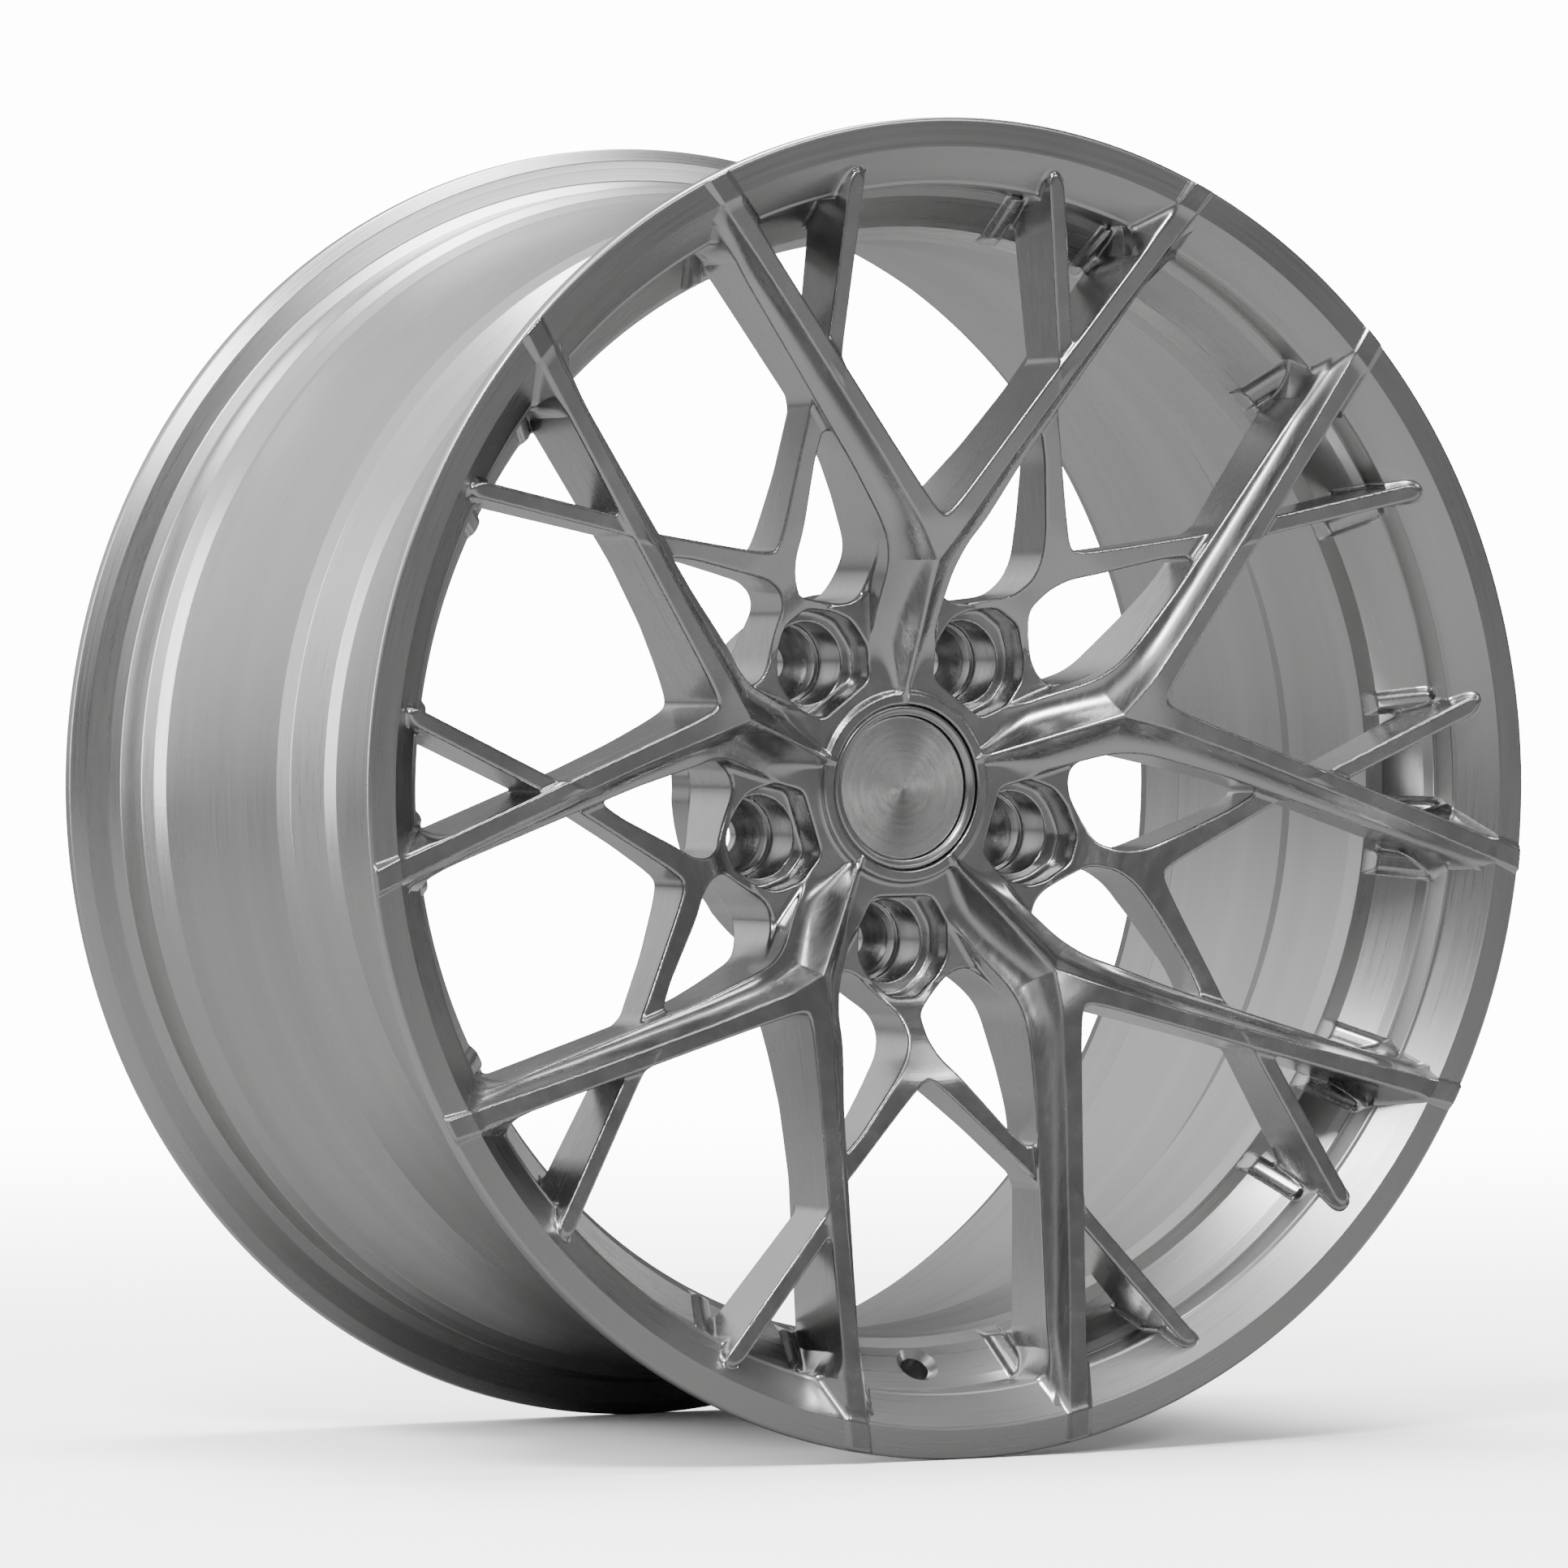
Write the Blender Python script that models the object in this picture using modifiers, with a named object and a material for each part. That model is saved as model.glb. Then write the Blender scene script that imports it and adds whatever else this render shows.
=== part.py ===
"""Forged racing wheel rim with ten arms and a push-fit centre cap.

The wheel axis is Y. The front face looks along -Y, +Z is up, and the origin is the centre of
the bounding box. Shapes are described by a radius or a plan position (u, v), and by a depth
behind the front plane. In a spoke's own plan frame, v runs outwards along the spoke and u across.
"""

import math

import bmesh
import bpy
from mathutils import Matrix, Vector

MM = 0.001

# Rim
FLANGE_R = 258.0
WIDTH = 263.0
BEAD_R = 240.8
RIM_SIDES = 64
LIP_INNER_R = 246.7
CHAMFER_R, CHAMFER_DEPTH = 234.2, 11.3
GROOVE_R = 232.6
SHELF_TOP_R, SHELF_TOP_DEPTH = 229.0, 28.0
SHELF_FOOT_R, SHELF_FOOT_DEPTH = 217.5, 40.0
BARREL_R = 213.0
VALVE_HOLE_R = 5.65
VALVE_SINK_R = 8.5
VALVE_ANGLE = math.radians(180.5)

# Spokes: five equal sectors, each with one Y spoke and one lug spoke
SECTORS = 5
CLOCKING = math.radians(-0.4)
ARM_ANGLE = math.radians(38.43)
FORK_APEX_V = 102.6
FORK_NOTCH_V = 106.5
STEM_END_V = 98.0
ARM_END_V = 246.0
CREST_AT_FORK = 14.0
CREST_FALL = 0.0993
CREST_MIN = 0.3
CREST_WIDTH = 8.3
STRUT_HALF_WIDTH = 3.2
STRUT_BACK = 34.0

# Lug spokes
LUG_SPLIT_V = 104.5
LUG_ARM_END_U = 42.4

# Hub
HUB_APOTHEM = 85.0
PLATEAU = 48.5
PLATE_BACK = 74.0
PAD_R, PAD_DEPTH = 76.0, 98.0
COLLAR_R, COLLAR_DEPTH = 37.0, 45.0
CENTRE_BORE_R = 36.3
CAP_BORE_R = 30.6
CAP_SEAT_R, CAP_SEAT_DEPTH = 32.4, 49.0
CAP_BORE_END = 66.0
LUG_CIRCLE_R = 60.0
POCKET_DEPTH = 62.0
LUG_BORE_R, LUG_BORE_DEPTH = 16.0, 86.0
STUD_HOLE_R, SEAT_DEPTH = 7.5, 93.0
SEAT_STEP = 3.0
ROUND_SIDES, BORE_SIDES, STUD_SIDES = 40, 24, 16
CUT_START, CUT_END = 30.0, 110.0

# Centre cap
CAP_R = 32.0
CAP_FACE_R = 28.0
CAP_FACE_DEPTH = 48.0
CAP_BEZEL_DEPTH = 46.0
CAP_POCKET_FLOOR = 50.2
CAP_WEB_BACK = 54.0
CAP_SKIRT_R = 29.4
CAP_SKIRT_END = 67.0
CAP_SKIRT_WALL = 3.0
CAP_SIDES = 48
RING_GROOVE_DEPTH = 60.0
RING_GROOVE_SIZE = 1.0
WIRE_R = 0.7
WIRE_SIDES = 8

GAP = 0.3

part_collection = bpy.data.collections.new("forged_wheel")
cutter_collection = bpy.data.collections.new("cutters")


def clear_scene():
    for obj in list(bpy.data.objects):
        bpy.data.objects.remove(obj, do_unlink=True)
    bpy.context.scene.collection.children.link(part_collection)
    bpy.context.scene.collection.children.link(cutter_collection)


def metal(name, color, roughness, metallic=1.0):
    made = bpy.data.materials.new(name)
    made.use_nodes = True
    shader = made.node_tree.nodes["Principled BSDF"]
    shader.inputs["Base Color"].default_value = (*color, 1.0)
    shader.inputs["Roughness"].default_value = roughness
    shader.inputs["Metallic"].default_value = metallic
    return made


def place(u, v, depth, angle=0.0):
    """A plan position (mm) in the frame of a spoke at an angle from the top, as a world point."""
    x = u * math.cos(angle) + v * math.sin(angle)
    z = v * math.cos(angle) - u * math.sin(angle)
    return Vector((x, depth - WIDTH / 2, z)) * MM


def add_object(name, mesh, collection=part_collection, material=None):
    obj = bpy.data.objects.new(name, mesh)
    collection.objects.link(obj)
    if collection is cutter_collection:
        obj.hide_render = True
        obj.display_type = "WIRE"
    if material:
        mesh.materials.append(material)
    return obj


def finish_mesh(name, shape):
    bmesh.ops.remove_doubles(shape, verts=shape.verts, dist=1e-6)
    bmesh.ops.recalc_face_normals(shape, faces=shape.faces)
    mesh = bpy.data.meshes.new(name)
    shape.to_mesh(mesh)
    shape.free()
    return mesh


def loft(name, rings, collection=part_collection, material=None):
    """A closed solid through rings of equally many points, with flat ends."""
    shape = bmesh.new()
    rows = [[shape.verts.new(point) for point in ring] for ring in rings]
    count = len(rows[0])
    for first, second in zip(rows, rows[1:]):
        for i in range(count):
            j = (i + 1) % count
            shape.faces.new((first[i], first[j], second[j], second[i]))
    shape.faces.new(rows[0])
    shape.faces.new(rows[-1])
    return add_object(name, finish_mesh(name, shape), collection, material)


def turned(name, profile, sides, collection=part_collection, material=None, phase=0.5):
    """A solid of revolution about the wheel axis from (radius, depth) points.

    The profile runs down the outer side, front to rear, and back up the inner side.
    """
    turn = math.tau * phase / sides
    mesh = bpy.data.meshes.new(name)
    points = [
        (r * math.cos(turn) * MM, r * math.sin(turn) * MM, (WIDTH / 2 - depth) * MM)
        for r, depth in profile
    ]
    edges = [(i, (i + 1) % len(points)) for i in range(len(points))]
    if profile[0][0] == 0:
        edges.pop()
    mesh.from_pydata(points, edges, [])
    obj = add_object(name, mesh, collection, material)
    obj.rotation_euler = (math.pi / 2, 0, 0)
    screw = obj.modifiers.new("Screw", "SCREW")
    screw.steps = screw.render_steps = sides
    screw.use_merge_vertices = True
    screw.merge_threshold = 1e-5
    return obj


def evaluated_copy(obj, name, collection, material=None):
    """The object's evaluated mesh as a new object in world space; the old object is removed."""
    bpy.context.view_layer.update()
    graph = bpy.context.evaluated_depsgraph_get()
    mesh = bpy.data.meshes.new_from_object(obj.evaluated_get(graph))
    mesh.transform(obj.matrix_world)
    mesh.name = name
    bpy.data.objects.remove(obj, do_unlink=True)
    mesh.materials.clear()
    return add_object(name, mesh, collection, material)


def boolean(obj, cutter, operation="DIFFERENCE"):
    change = obj.modifiers.new(cutter.name, "BOOLEAN")
    change.operation = operation
    change.object = cutter
    change.solver = "EXACT"
    return change


def prisms(name, outlines, near, far):
    """Straight prisms between two depths over plan outlines [(angle, [(u, v), ...]), ...]."""
    shape = bmesh.new()
    for angle, outline in outlines:
        front = [shape.verts.new(place(u, v, near, angle)) for u, v in outline]
        base = shape.faces.new(front)
        moved = bmesh.ops.extrude_face_region(shape, geom=[base])
        verts = [item for item in moved["geom"] if isinstance(item, bmesh.types.BMVert)]
        bmesh.ops.translate(shape, verts=verts, vec=(0, (far - near) * MM, 0))
    return add_object(name, finish_mesh(name, shape), cutter_collection)


def mirrored(points, side):
    return [(side * u, v) for u, v in points]


def spoke_angle(number):
    return math.tau * number / SECTORS + CLOCKING


def lug_angle(number):
    return spoke_angle(number) + math.pi / SECTORS


# Depth profiles

def between(table, x):
    """Straight-line reading of a table of (x, y) pairs."""
    for (x0, y0), (x1, y1) in zip(table, table[1:]):
        if x <= x1:
            return y0 + (y1 - y0) * (max(x, x0) - x0) / (x1 - x0)
    return table[-1][1]


def crest_depth(r):
    return max(CREST_MIN, CREST_AT_FORK - CREST_FALL * (r - FORK_APEX_V))


def back_depth(r):
    return between([(78, 80), (92, 66), (105, 59), (118, 52), (135, 45), (160, 40)], r)


def lug_crest_depth(r):
    return between([(85, 46), (95, 37.6), (113.5, 28.5), (150, 22)], r)


# Y spokes

def fork_edge(v):
    """Plan position u of an arm's edge on the fork side."""
    return max(GAP / 2, math.tan(ARM_ANGLE) * (v - FORK_APEX_V))


def shoulder_edge(v):
    """Plan position u of an arm's edge on the side of the lug spoke."""
    return between([(98, 20), (106, 25.2), (126, 38.4), (160, 63.5), (200, 93.3), (246, 128)], v)


def arm_ring(v, side, angle):
    inner, outer = fork_edge(v), shoulder_edge(v)
    crest_u = max(inner, math.tan(ARM_ANGLE) * (v - FORK_APEX_V)) + CREST_WIDTH
    if v < FORK_NOTCH_V:
        crest_u = math.tan(ARM_ANGLE) * (v - FORK_APEX_V) + CREST_WIDTH + 1.3
    flute_u = crest_u + 0.35 * (outer - crest_u)
    r = math.hypot(inner, v)
    crest, back = crest_depth(r), back_depth(r)
    across = [
        (inner, crest),
        (crest_u, crest),
        (flute_u, crest + 6.0),
        (outer, crest + 8.5),
        (outer, back),
        (inner, back),
    ]
    return [place(side * u, v, depth, angle) for u, depth in across]


def stem_ring(v, back, angle):
    ridge = between([(37, 44.5), (60, 33), (78, 24.5), (90, 18.5), (103, 14)], v)
    half = between([(37, 12), (50, 13.5), (66, 14.5), (85, 15), (95, 18), (98, 20)], v)
    flat = between([(37, 1.5), (88, 1.0), (98, 6.0)], v)
    drop = between([(37, 3), (50, 8.5), (60, 13), (88, 12), (98, 8.5)], v)
    flute_u = flat + 0.4 * (half - flat)
    across = [
        (flat, ridge),
        (flute_u, ridge + 0.65 * drop),
        (half, min(ridge + drop, PLATEAU - 1.0)),
        (half, back),
    ]
    left = [(-u, depth) for u, depth in reversed(across)]
    return [place(u, v, depth, angle) for u, depth in left + across]


def add_stem(number, material):
    angle = spoke_angle(number)
    on_hub = PLATEAU - GAP
    inner = [stem_ring(v, on_hub, angle) for v in (COLLAR_R + 0.6, 48, 60, 72, HUB_APOTHEM + GAP)]
    outer = [
        stem_ring(v, back_depth(v), angle)
        for v in (HUB_APOTHEM + GAP, 90, 94, STEM_END_V - GAP / 2)
    ]
    return loft(f"spoke_stem_{number + 1}", inner + outer, material=material)


def add_arm(number, side, rim_cutter, material):
    angle = spoke_angle(number)
    stations = [STEM_END_V + GAP / 2, 102, FORK_NOTCH_V, 109, 115, 126, 143, 160, 180, 200, 220]
    rings = [arm_ring(v, side, angle) for v in stations + [ARM_END_V]]
    obj = loft(f"spoke_arm_{number + 1}{side_letter(side)}", rings, material=material)
    boolean(obj, rim_cutter)
    return obj


def side_letter(side):
    return "a" if side < 0 else "b"


def bar(name, pairs, front, back, side, angle, material):
    """A bar between two plan edges, given as pairs of points, with front and back depth rules."""
    rings = []
    for first, second in pairs:
        near = [(side * u, v, front(math.hypot(u, v))) for u, v in (first, second)]
        far = [(side * u, v, back(math.hypot(u, v))) for u, v in (second, first)]
        rings.append([place(u, v, depth, angle) for u, v, depth in near + far])
    return loft(name, rings, material=material)


def strut_front(r):
    return max(CREST_MIN, 8.7 - 0.0923 * (r - 176.0))


def add_strut(number, side, rim_cutter, material):
    def middle(v):
        return 51.5 - 0.107 * (v - 169.0)

    def edge_meets_arm(offset):
        v = 168.0
        for _ in range(20):
            v = FORK_APEX_V + (middle(v) + offset + 0.5) / math.tan(ARM_ANGLE)
        return middle(v) + offset, v

    pairs = [(edge_meets_arm(-STRUT_HALF_WIDTH), edge_meets_arm(STRUT_HALF_WIDTH))]
    for v in (190.0, 210.0, 228.0, 245.0):
        pairs.append(
            ((middle(v) - STRUT_HALF_WIDTH, v), (middle(v) + STRUT_HALF_WIDTH, v))
        )
    name = f"fork_strut_{number + 1}{side_letter(side)}"
    obj = bar(name, pairs, strut_front, lambda r: STRUT_BACK, side, spoke_angle(number), material)
    boolean(obj, rim_cutter)
    return obj


# Lug spokes

def add_lug_stem(number, material):
    widths = [(HUB_APOTHEM + GAP, 7.9), (88.5, 4.6), (96, 4.2), (LUG_SPLIT_V - GAP / 2, 7.4)]
    pairs = [((-half, v), (half, v)) for v, half in widths]
    return bar(
        f"lug_stem_{number + 1}", pairs, lug_crest_depth, back_depth, 1, lug_angle(number), material
    )


def add_lug_arm(number, side, material):
    start = LUG_SPLIT_V + GAP / 2
    pairs = [
        ((GAP / 2, start), (7.7, start)),
        ((GAP / 2, 113.5), (13.0, 110.8)),
        ((5.5, 119.5), (17.5, 116.0)),
        ((24.0, 137.6), (31.0, 131.3)),
        ((36.0, 149.3), (37.0, 137.5)),
        ((LUG_ARM_END_U, 155.5), (LUG_ARM_END_U, 139.0)),
    ]
    name = f"lug_arm_{number + 1}{side_letter(side)}"
    return bar(name, pairs, lug_crest_depth, back_depth, side, lug_angle(number), material)


# Hub

def window_outline():
    """Edge of one window beside a lug spoke, in the lug spoke's plan frame."""
    return [
        (4.2, 97), (4.6, 88.5), (20, 73.8), (25, 71.5), (30.5, 72), (36.5, 77),
        (40, 86), (42.3, 100), (30, 110),
    ]


def pocket_outline():
    half = [(6, 81.5), (15, 74), (20, 66), (20, 54), (13, 42.5)]
    return half + [(-u, v) for u, v in reversed(half)]


def circle(radius, centre_v, sides):
    return [
        (
            radius * math.sin(math.tau * i / sides),
            centre_v + radius * math.cos(math.tau * i / sides),
        )
        for i in range(sides)
    ]


def add_hub(material):
    lugs = [lug_angle(number) for number in range(SECTORS)]
    decagon = circle(HUB_APOTHEM / math.cos(math.pi / 10), 0, 10)
    pad = prisms("hub_pad_shape", [(0, circle(PAD_R, 0, ROUND_SIDES))], PLATE_BACK - 4, PAD_DEPTH)
    collar_outline = circle(COLLAR_R, 0, ROUND_SIDES)
    collar = prisms("hub_collar_shape", [(0, collar_outline)], COLLAR_DEPTH, PLATEAU + 4)
    turn = CLOCKING + math.pi / 10
    hub = prisms("hub_plate_shape", [(turn, decagon)], PLATEAU, PLATE_BACK)
    boolean(hub, pad, "UNION")
    boolean(hub, collar, "UNION")
    pockets = prisms(
        "lug_pockets", [(a, pocket_outline()) for a in lugs], CUT_START, POCKET_DEPTH
    )
    windows = prisms(
        "hub_windows",
        [(a, mirrored(window_outline(), side)) for a in lugs for side in (-1, 1)],
        CUT_START,
        CUT_END,
    )
    bore_outline = circle(LUG_BORE_R, LUG_CIRCLE_R, BORE_SIDES)
    bores = prisms("lug_bores", [(a, bore_outline) for a in lugs], CUT_START, LUG_BORE_DEPTH)
    stud_outline = circle(STUD_HOLE_R, LUG_CIRCLE_R, STUD_SIDES)
    studs = prisms("stud_holes", [(a, stud_outline) for a in lugs], PLATE_BACK, CUT_END)
    centre = turned("centre_bore", centre_bore_profile(), ROUND_SIDES, cutter_collection)
    for cutter in (pockets, windows, bores, *lug_seats(lugs), studs, centre):
        boolean(hub, cutter)
    return evaluated_copy(hub, "hub_centre", part_collection, material)


def lug_seats(angles):
    """Conical nut seats between each lug bore and its stud hole."""
    start = LUG_BORE_DEPTH - 2.0
    length = SEAT_DEPTH - start
    seats = []
    for number, angle in enumerate(angles):
        middle = place(0, LUG_CIRCLE_R, start + length / 2, angle)
        seats.append(
            cone_cutter(
                f"lug_seat_{number + 1}",
                middle,
                Vector((0, 1, 0)),
                LUG_BORE_R - SEAT_STEP,
                STUD_HOLE_R,
                length,
            )
        )
    return seats


def centre_bore_profile():
    return [
        (0, COLLAR_DEPTH - 10),
        (CAP_SEAT_R, COLLAR_DEPTH - 10),
        (CAP_SEAT_R, CAP_SEAT_DEPTH),
        (CAP_BORE_R, CAP_SEAT_DEPTH),
        (CAP_BORE_R, CAP_BORE_END),
        (CENTRE_BORE_R, CAP_BORE_END + 2),
        (CENTRE_BORE_R, PAD_DEPTH + 10),
        (0, PAD_DEPTH + 10),
    ]


# Rim

def rim_outer():
    """Tyre side of the rim, front to rear."""
    return [
        (LIP_INNER_R, 0.0),
        (FLANGE_R - 1.0, 0.0),
        (FLANGE_R, 1.0),
        (FLANGE_R, 5.0),
        (254.0, 9.0),
        (246.0, 10.5),
        (BEAD_R + 0.8, 14.5),
        (BEAD_R, 18.0),
        (BEAD_R - 0.3, 32.0),
        (BEAD_R + 1.0, 35.0),
        (BEAD_R - 1.5, 38.5),
        (222.0, 58.0),
        (219.0, 64.0),
        (219.0, 103.0),
        (221.0, 109.0),
        (229.0, 122.0),
        (231.0, 130.0),
        (236.0, 216.0),
        (238.5, 222.0),
        (BEAD_R + 1.0, 227.5),
        (BEAD_R - 0.6, 231.0),
        (BEAD_R, 247.0),
        (244.5, 251.0),
        (253.0, 253.5),
        (FLANGE_R, 258.0),
        (FLANGE_R, WIDTH - 1.0),
        (FLANGE_R - 1.0, WIDTH),
    ]


def rim_inner():
    """Spoke side of the rim, rear to front."""
    return [
        (243.5, WIDTH),
        (240.5, 260.0),
        (237.0, 250.0),
        (234.6, 221.0),
        (231.0, 215.0),
        (225.5, 126.0),
        (BARREL_R + 1.0, 103.0),
        (BARREL_R, 56.0),
        (BARREL_R + 1.0, 47.0),
        (SHELF_FOOT_R, SHELF_FOOT_DEPTH),
        (SHELF_TOP_R, SHELF_TOP_DEPTH),
        (GROOVE_R, 25.0),
        (GROOVE_R, 12.2),
        (CHAMFER_R, CHAMFER_DEPTH),
    ]


def cone_cutter(name, middle, axis, near_r, far_r, length):
    """A round cutter along an axis, as wide as near_r where it starts and far_r where it ends."""
    shape = bmesh.new()
    bmesh.ops.create_cone(
        shape,
        cap_ends=True,
        segments=24,
        radius1=near_r * MM,
        radius2=far_r * MM,
        depth=length * MM,
    )
    turn = Vector((0, 0, 1)).rotation_difference(axis).to_matrix().to_4x4()
    bmesh.ops.transform(shape, matrix=Matrix.Translation(middle) @ turn, verts=shape.verts)
    return add_object(name, finish_mesh(name, shape), cutter_collection)


def add_rim(material):
    """The rim, with its valve hole drilled square to the sloping shelf."""
    rim = turned("rim_barrel", rim_outer() + rim_inner(), RIM_SIDES, material=material)
    middle_r = (SHELF_TOP_R + SHELF_FOOT_R) / 2
    middle_depth = (SHELF_TOP_DEPTH + SHELF_FOOT_DEPTH) / 2
    mouth = place(0, middle_r, middle_depth, VALVE_ANGLE)
    outward = place(0, 1, WIDTH / 2, VALVE_ANGLE).normalized()
    inward_face = (Vector((0, -1, 0)) - outward).normalized()
    reach = VALVE_SINK_R - VALVE_HOLE_R + 1.0
    hole = cone_cutter("valve_hole", mouth, inward_face, VALVE_HOLE_R, VALVE_HOLE_R, 60.0)
    sink = cone_cutter(
        "valve_sink", mouth, inward_face, VALVE_SINK_R - reach, VALVE_SINK_R + reach, 2 * reach
    )
    boolean(rim, hole)
    boolean(rim, sink)
    return rim


def add_rim_cutter():
    """The rim's spoke side moved off by the gap, filled outwards: it trims the spoke ends."""
    profile = [
        (FLANGE_R + 40.0, -5.0),
        (FLANGE_R + 40.0, 70.0),
        (BARREL_R - GAP, 70.0),
        (BARREL_R - GAP, 56.0),
        (BARREL_R + 1.0 - GAP, 47.0),
        (SHELF_FOOT_R - GAP, SHELF_FOOT_DEPTH - GAP),
        (SHELF_TOP_R - GAP, SHELF_TOP_DEPTH - GAP),
        (GROOVE_R - GAP, 25.0 - GAP),
        (GROOVE_R - GAP, 12.2 - GAP),
        (CHAMFER_R - GAP, CHAMFER_DEPTH - GAP - 0.1),
        (LIP_INNER_R - GAP, -GAP),
        (LIP_INNER_R - GAP, -5.0),
    ]
    return turned("rim_cutter", profile, RIM_SIDES, cutter_collection)


# Centre cap

def cap_shell_profile():
    """Bezel, seating flange, grooved skirt and the web behind the disc, front to rear and back."""
    pocket_r = CAP_FACE_R + GAP
    groove_r = CAP_SKIRT_R - RING_GROOVE_SIZE
    bore_r = CAP_SKIRT_R - CAP_SKIRT_WALL
    return [
        (CAP_FACE_R + 1.2, CAP_BEZEL_DEPTH),
        (CAP_R - 0.8, CAP_BEZEL_DEPTH + 0.4),
        (CAP_R, CAP_BEZEL_DEPTH + 1.2),
        (CAP_R, CAP_SEAT_DEPTH - GAP),
        (CAP_SKIRT_R, CAP_SEAT_DEPTH - GAP),
        (CAP_SKIRT_R, RING_GROOVE_DEPTH - RING_GROOVE_SIZE),
        (groove_r, RING_GROOVE_DEPTH - RING_GROOVE_SIZE),
        (groove_r, RING_GROOVE_DEPTH + RING_GROOVE_SIZE),
        (CAP_SKIRT_R, RING_GROOVE_DEPTH + RING_GROOVE_SIZE),
        (CAP_SKIRT_R - 0.8, CAP_SKIRT_END),
        (bore_r, CAP_SKIRT_END),
        (bore_r, CAP_WEB_BACK),
        (0, CAP_WEB_BACK),
        (0, CAP_POCKET_FLOOR),
        (pocket_r, CAP_POCKET_FLOOR),
        (pocket_r, CAP_BEZEL_DEPTH + 1.2),
    ]


def cap_disc_profile():
    edge = 0.4
    return [
        (0, CAP_FACE_DEPTH),
        (CAP_FACE_R - edge, CAP_FACE_DEPTH),
        (CAP_FACE_R, CAP_FACE_DEPTH + edge),
        (CAP_FACE_R, CAP_POCKET_FLOOR - GAP),
        (0, CAP_POCKET_FLOOR - GAP),
    ]


def wire_profile():
    ring_r = CAP_SKIRT_R - RING_GROOVE_SIZE + GAP + WIRE_R
    turns = [math.tau * i / WIRE_SIDES for i in range(WIRE_SIDES)]
    return [
        (ring_r + WIRE_R * math.sin(turn), RING_GROOVE_DEPTH - WIRE_R * math.cos(turn))
        for turn in turns
    ]


def add_cap(shell_material, disc_material, spring_material):
    joint = bpy.data.objects.new("centre_cap", None)
    joint.location = (0, (CAP_FACE_DEPTH - WIDTH / 2) * MM, 0)
    part_collection.objects.link(joint)
    bpy.context.view_layer.update()
    shell = turned("centre_cap_shell", cap_shell_profile(), CAP_SIDES, material=shell_material)
    disc = turned("centre_cap_disc", cap_disc_profile(), CAP_SIDES, material=disc_material)
    spring = turned("cap_spring_ring", wire_profile(), CAP_SIDES, material=spring_material)
    for obj in (shell, disc, spring):
        obj.parent = joint
        obj.matrix_parent_inverse = joint.matrix_world.inverted()


def main():
    clear_scene()
    forged = metal("forged_aluminium", (0.62, 0.63, 0.64), 0.32)
    satin = metal("cap_satin", (0.50, 0.51, 0.52), 0.30)
    brushed = metal("cap_brushed", (0.72, 0.72, 0.73), 0.25)
    steel = metal("spring_steel", (0.55, 0.55, 0.56), 0.35)
    add_rim(forged)
    rim_cutter = add_rim_cutter()
    add_hub(forged)
    for number in range(SECTORS):
        add_stem(number, forged)
        add_lug_stem(number, forged)
        for side in (-1, 1):
            add_arm(number, side, rim_cutter, forged)
            add_strut(number, side, rim_cutter, forged)
            add_lug_arm(number, side, forged)
    add_cap(satin, brushed, steel)


main()
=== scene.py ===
"""Looks of the forged racing wheel rim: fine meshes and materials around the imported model.

Lengths are in millimetres until a mesh is made; those of the studio and the camera are in metres.
A plan frame has v running outwards along a spoke and u across it, and d is the depth behind the
front plane.
"""

import math

import bmesh
import bpy
import numpy as np
from mathutils import Matrix, Vector


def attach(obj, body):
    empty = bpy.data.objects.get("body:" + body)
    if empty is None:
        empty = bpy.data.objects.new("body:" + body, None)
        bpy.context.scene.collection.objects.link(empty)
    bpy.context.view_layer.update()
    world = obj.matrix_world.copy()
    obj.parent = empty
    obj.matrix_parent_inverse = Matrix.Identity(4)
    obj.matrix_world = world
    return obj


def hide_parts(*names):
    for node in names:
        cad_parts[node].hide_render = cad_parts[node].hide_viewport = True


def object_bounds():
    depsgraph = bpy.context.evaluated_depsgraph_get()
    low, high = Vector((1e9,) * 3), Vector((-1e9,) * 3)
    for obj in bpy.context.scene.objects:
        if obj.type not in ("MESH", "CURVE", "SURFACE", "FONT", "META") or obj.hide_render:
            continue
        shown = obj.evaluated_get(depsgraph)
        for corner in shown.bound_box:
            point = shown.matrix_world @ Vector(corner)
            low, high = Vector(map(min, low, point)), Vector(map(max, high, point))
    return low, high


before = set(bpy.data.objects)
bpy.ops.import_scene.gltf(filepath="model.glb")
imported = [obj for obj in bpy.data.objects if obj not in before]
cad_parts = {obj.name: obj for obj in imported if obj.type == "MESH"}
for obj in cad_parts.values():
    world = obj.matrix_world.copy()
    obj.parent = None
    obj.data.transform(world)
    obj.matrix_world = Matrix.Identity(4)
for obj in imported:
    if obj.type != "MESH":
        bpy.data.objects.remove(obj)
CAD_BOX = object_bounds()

MM = 0.001

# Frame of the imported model
FRONT_Y = CAD_BOX[0].y / MM
FLOOR_Z = -0.258
FLANGE_R = 258.0
SECTORS = 5
SECTOR = 2 * math.pi / SECTORS
CLOCKING = math.radians(-0.4)

# Seams between the forging's parts in plan: start, end, whether in the lug's frame, and reach
HUB_STEM_SEAM = ((0, 85), (17, 85), False, 12)
HUB_LUG_SEAM = ((0, 88), (8, 88), True, 9)
STEM_ARM_SEAM = ((0, 107.2), (21, 96.5), False, 17)
LUG_SPLIT_SEAM = ((0, 114.6), (7.5, 104.0), True, 9)
LUG_TIP_SEAM = ((40.8, 127.8), (58.4, 151.7), False, 19)
STRUT_SEAM = ((46.0, 163.0), (58.0, 178.1), False, 13)
SEAM_DEPTH = 50.0
SEAMS = [HUB_STEM_SEAM, HUB_LUG_SEAM, STEM_ARM_SEAM, LUG_SPLIT_SEAM, LUG_TIP_SEAM, STRUT_SEAM]

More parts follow.
